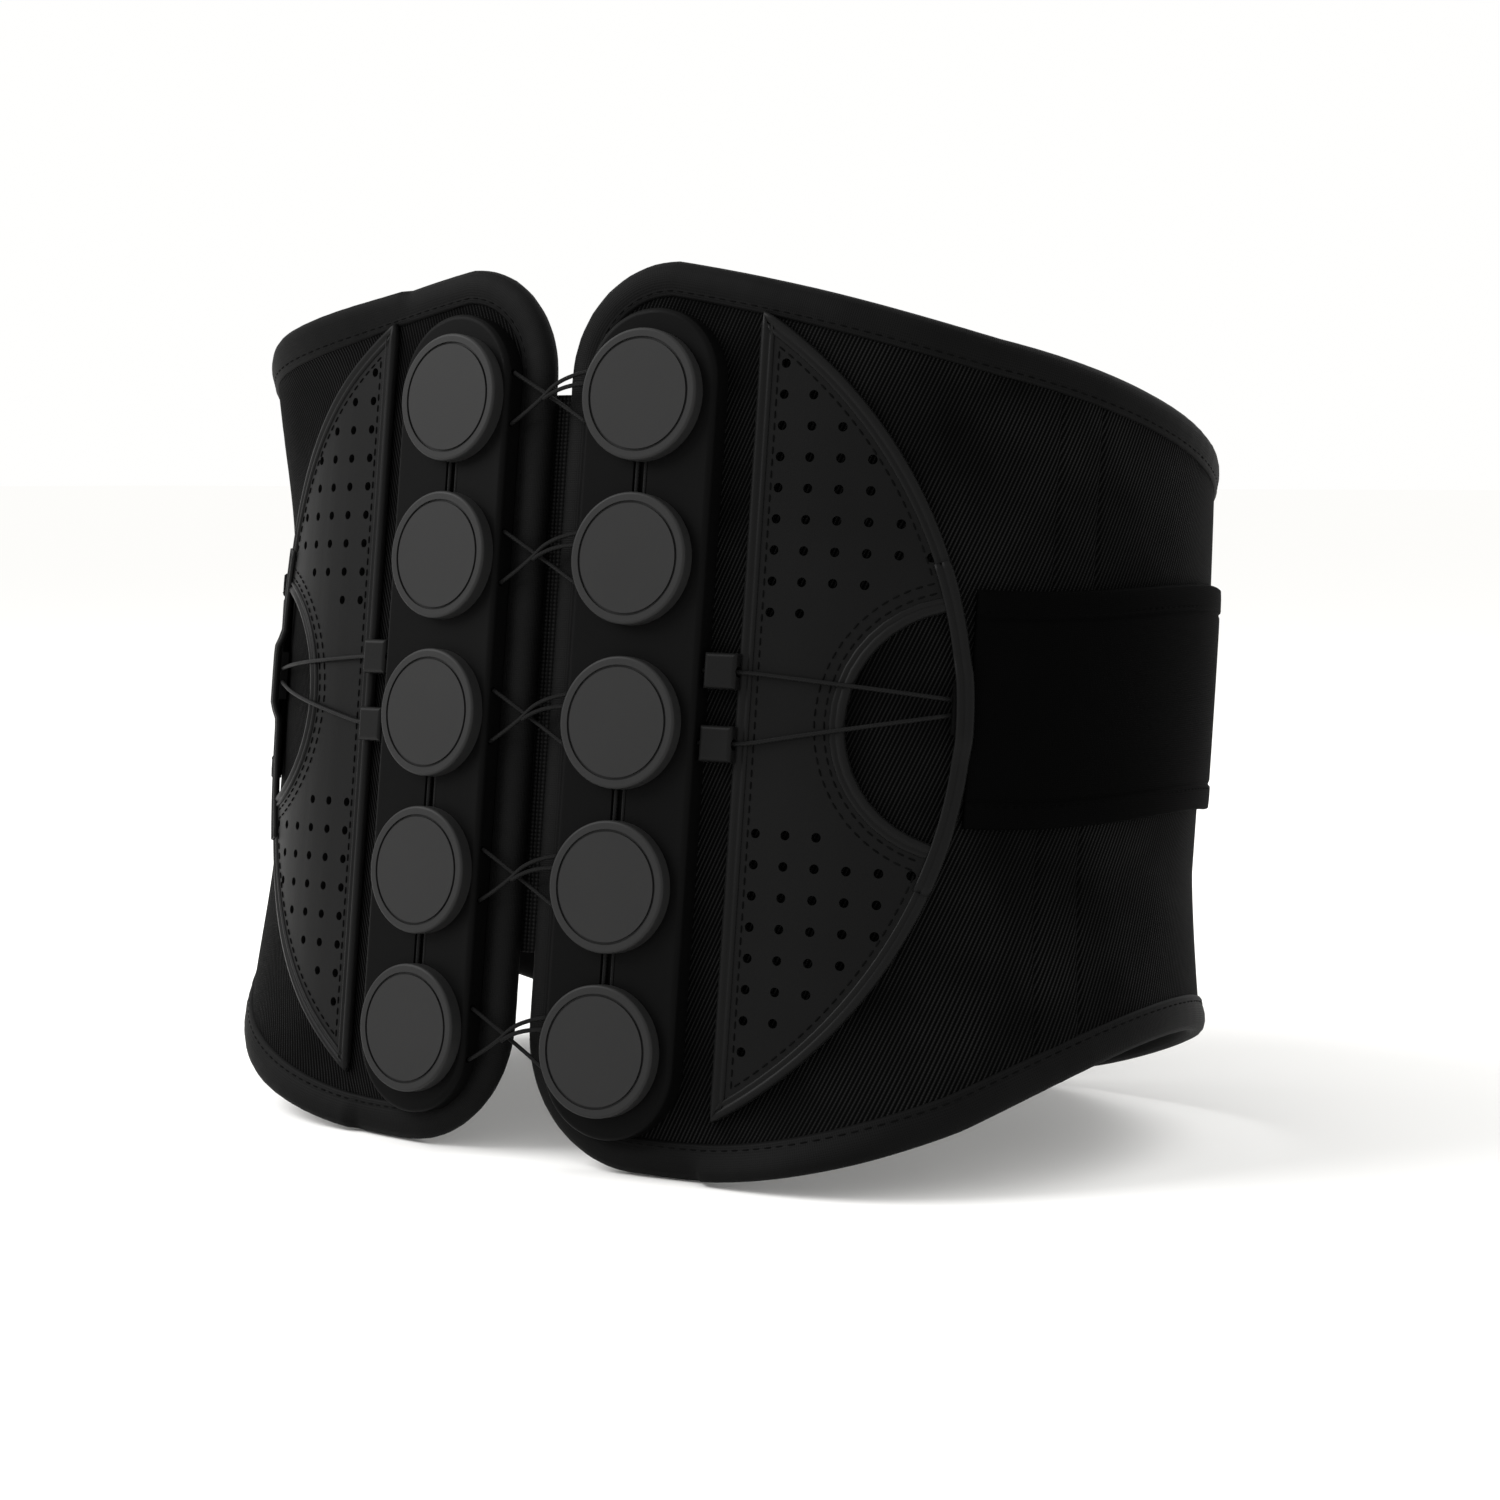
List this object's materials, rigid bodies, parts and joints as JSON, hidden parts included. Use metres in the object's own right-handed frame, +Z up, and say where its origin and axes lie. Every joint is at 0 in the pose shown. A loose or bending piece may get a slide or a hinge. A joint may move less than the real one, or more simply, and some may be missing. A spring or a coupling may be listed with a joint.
{
  "type": "lumbar support belt",
  "caption": "Closed lumbar support belt standing upright: two padded back wings laced through pulleys, perforated side panels, side pull straps, overlapping front flap.",
  "frame": {"origin": "centre of the footprint of the standing belt, on the floor", "axes": "+Z up, -Y towards the laced back, +X towards the right half"},
  "size_m": [0.2936, 0.2108, 0.2408],
  "materials": {
    "twill_fabric": "black diagonal twill over foam laminate",
    "edge_binding": "black matt binding tape",
    "spacer_mesh": "black knitted spacer mesh",
    "stay_steel": "spring steel",
    "pad_foam": "brushed knit over foam",
    "moulded_plate": "satin moulded nylon",
    "pulley_cap": "satin moulded nylon, slightly lighter",
    "sheave_plastic": "natural acetal",
    "pin_steel": "ground steel",
    "lace_cord": "braided low-stretch cord",
    "side_leatherette": "fine grain leatherette",
    "guide_leatherette": "folded leatherette loop",
    "strap_webbing": "smooth elastic strap with woven hems",
    "grip_rubber": "moulded soft grip",
    "hook_fastener": "hook tape",
    "loop_fastener": "loop pile",
    "elastic_knit": "ribbed elastic knit"
  },
  "bodies": {
    "left_half": {"left_wing": "twill_fabric", "left_binding": "edge_binding", "left_lining": "spacer_mesh", "left_stays": "stay_steel", "left_lumbar_pad": "pad_foam", "left_pulley_plate": "moulded_plate", "left_link_cords": "lace_cord", "left_axle_pins": "pin_steel", "left_pulley_cap_1": "pulley_cap", "left_pulley_cap_2": "pulley_cap", "left_pulley_cap_3": "pulley_cap", "left_pulley_cap_4": "pulley_cap", "left_pulley_cap_5": "pulley_cap", "left_cord_guides": "guide_leatherette", "left_side_panel": "side_leatherette", "left_strap_keeper": "side_leatherette", "elastic_panel": "elastic_knit", "crossed_lacing": "lace_cord", "landing_loop_patch": "loop_fastener"},
    "right_half": {"right_wing": "twill_fabric", "right_binding": "edge_binding", "right_lining": "spacer_mesh", "right_stays": "stay_steel", "right_lumbar_pad": "pad_foam", "right_pulley_plate": "moulded_plate", "right_link_cords": "lace_cord", "right_axle_pins": "pin_steel", "right_pulley_cap_1": "pulley_cap", "right_pulley_cap_2": "pulley_cap", "right_pulley_cap_3": "pulley_cap", "right_pulley_cap_4": "pulley_cap", "right_pulley_cap_5": "pulley_cap", "right_cord_guides": "guide_leatherette", "right_side_panel": "side_leatherette", "right_strap_keeper": "side_leatherette"},
    "front_flap_body": {"front_flap": "twill_fabric", "flap_binding": "edge_binding", "flap_hook_patch": "hook_fastener"},
    "right_strap_body": {"right_pull_strap": "strap_webbing", "right_cord_anchor": "moulded_plate", "right_strap_grip": "grip_rubber", "right_strap_hook_patch": "hook_fastener", "right_side_cords": "lace_cord"},
    "right_sheave_body_1": {"right_sheave_1": "sheave_plastic"},
    "right_sheave_body_2": {"right_sheave_2": "sheave_plastic"},
    "right_sheave_body_3": {"right_sheave_3": "sheave_plastic"},
    "right_sheave_body_4": {"right_sheave_4": "sheave_plastic"},
    "right_sheave_body_5": {"right_sheave_5": "sheave_plastic"},
    "left_strap_body": {"left_pull_strap": "strap_webbing", "left_cord_anchor": "moulded_plate", "left_strap_grip": "grip_rubber", "left_strap_hook_patch": "hook_fastener", "left_side_cords": "lace_cord"},
    "left_sheave_body_1": {"left_sheave_1": "sheave_plastic"},
    "left_sheave_body_2": {"left_sheave_2": "sheave_plastic"},
    "left_sheave_body_3": {"left_sheave_3": "sheave_plastic"},
    "left_sheave_body_4": {"left_sheave_4": "sheave_plastic"},
    "left_sheave_body_5": {"left_sheave_5": "sheave_plastic"}
  },
  "joints": [
    {"name": "tighten_back", "type": "slide", "parent": "left_half", "child": "right_half", "axis": [-1, 0, 0], "range_m": [0, 0.006], "deforming": ["elastic_panel", "crossed_lacing"]},
    {"name": "open_front", "type": "hinge", "parent": "right_half", "child": "front_flap_body", "pos_m": [0.05879, 0.08636, 0.08064], "axis": [0, -0.1175, -0.9931], "range_deg": [0, 72]},
    {"name": "pull_right_strap", "type": "hinge", "parent": "right_half", "child": "right_strap_body", "pos_m": [0.05879, 0.00707, 0.11681], "axis": [0, 0.1175, 0.9931], "range_deg": [0, 10.2], "deforming": ["right_side_cords"]},
    {"name": "right_sheave_1_turn", "type": "hinge", "parent": "right_half", "child": "right_sheave_body_1", "pos_m": [0.03176, -0.07632, 0.20462], "axis": [0.0819, -0.9897, 0.1171], "continuous": true},
    {"name": "right_sheave_2_turn", "type": "hinge", "parent": "right_half", "child": "right_sheave_body_2", "pos_m": [0.03176, -0.08141, 0.16167], "axis": [0.0819, -0.9897, 0.1171], "continuous": true},
    {"name": "right_sheave_3_turn", "type": "hinge", "parent": "right_half", "child": "right_sheave_body_3", "pos_m": [0.03176, -0.08649, 0.11872], "axis": [0.0819, -0.9897, 0.1171], "continuous": true},
    {"name": "right_sheave_4_turn", "type": "hinge", "parent": "right_half", "child": "right_sheave_body_4", "pos_m": [0.03176, -0.09157, 0.07577], "axis": [0.0819, -0.9897, 0.1171], "continuous": true},
    {"name": "right_sheave_5_turn", "type": "hinge", "parent": "right_half", "child": "right_sheave_body_5", "pos_m": [0.03176, -0.09666, 0.03282], "axis": [0.0819, -0.9897, 0.1171], "continuous": true},
    {"name": "pull_left_strap", "type": "hinge", "parent": "left_half", "child": "left_strap_body", "pos_m": [-0.05879, 0.00707, 0.11681], "axis": [0, -0.1175, -0.9931], "range_deg": [0, 10.2], "deforming": ["left_side_cords"]},
    {"name": "left_sheave_1_turn", "type": "hinge", "parent": "left_half", "child": "left_sheave_body_1", "pos_m": [-0.03176, -0.07632, 0.20462], "axis": [-0.0819, -0.9897, 0.1171], "continuous": true},
    {"name": "left_sheave_2_turn", "type": "hinge", "parent": "left_half", "child": "left_sheave_body_2", "pos_m": [-0.03176, -0.08141, 0.16167], "axis": [-0.0819, -0.9897, 0.1171], "continuous": true},
    {"name": "left_sheave_3_turn", "type": "hinge", "parent": "left_half", "child": "left_sheave_body_3", "pos_m": [-0.03176, -0.08649, 0.11872], "axis": [-0.0819, -0.9897, 0.1171], "continuous": true},
    {"name": "left_sheave_4_turn", "type": "hinge", "parent": "left_half", "child": "left_sheave_body_4", "pos_m": [-0.03176, -0.09157, 0.07577], "axis": [-0.0819, -0.9897, 0.1171], "continuous": true},
    {"name": "left_sheave_5_turn", "type": "hinge", "parent": "left_half", "child": "left_sheave_body_5", "pos_m": [-0.03176, -0.09666, 0.03282], "axis": [-0.0819, -0.9897, 0.1171], "continuous": true}
  ],
  "couplings": [
    {"joint": "pull_right_strap", "follows": "tighten_back", "rad_per_m": 28.736},
    {"joint": "right_sheave_1_turn", "follows": "tighten_back", "rad_per_m": 136.99},
    {"joint": "right_sheave_2_turn", "follows": "tighten_back", "rad_per_m": 273.97},
    {"joint": "right_sheave_3_turn", "follows": "tighten_back", "rad_per_m": 342.47},
    {"joint": "right_sheave_4_turn", "follows": "tighten_back", "rad_per_m": -273.97},
    {"joint": "right_sheave_5_turn", "follows": "tighten_back", "rad_per_m": -136.99},
    {"joint": "pull_left_strap", "follows": "tighten_back", "rad_per_m": 28.736},
    {"joint": "left_sheave_1_turn", "follows": "tighten_back", "rad_per_m": -136.99},
    {"joint": "left_sheave_2_turn", "follows": "tighten_back", "rad_per_m": -273.97},
    {"joint": "left_sheave_3_turn", "follows": "tighten_back", "rad_per_m": -342.47},
    {"joint": "left_sheave_4_turn", "follows": "tighten_back", "rad_per_m": 273.97},
    {"joint": "left_sheave_5_turn", "follows": "tighten_back", "rad_per_m": 136.99}
  ]
}
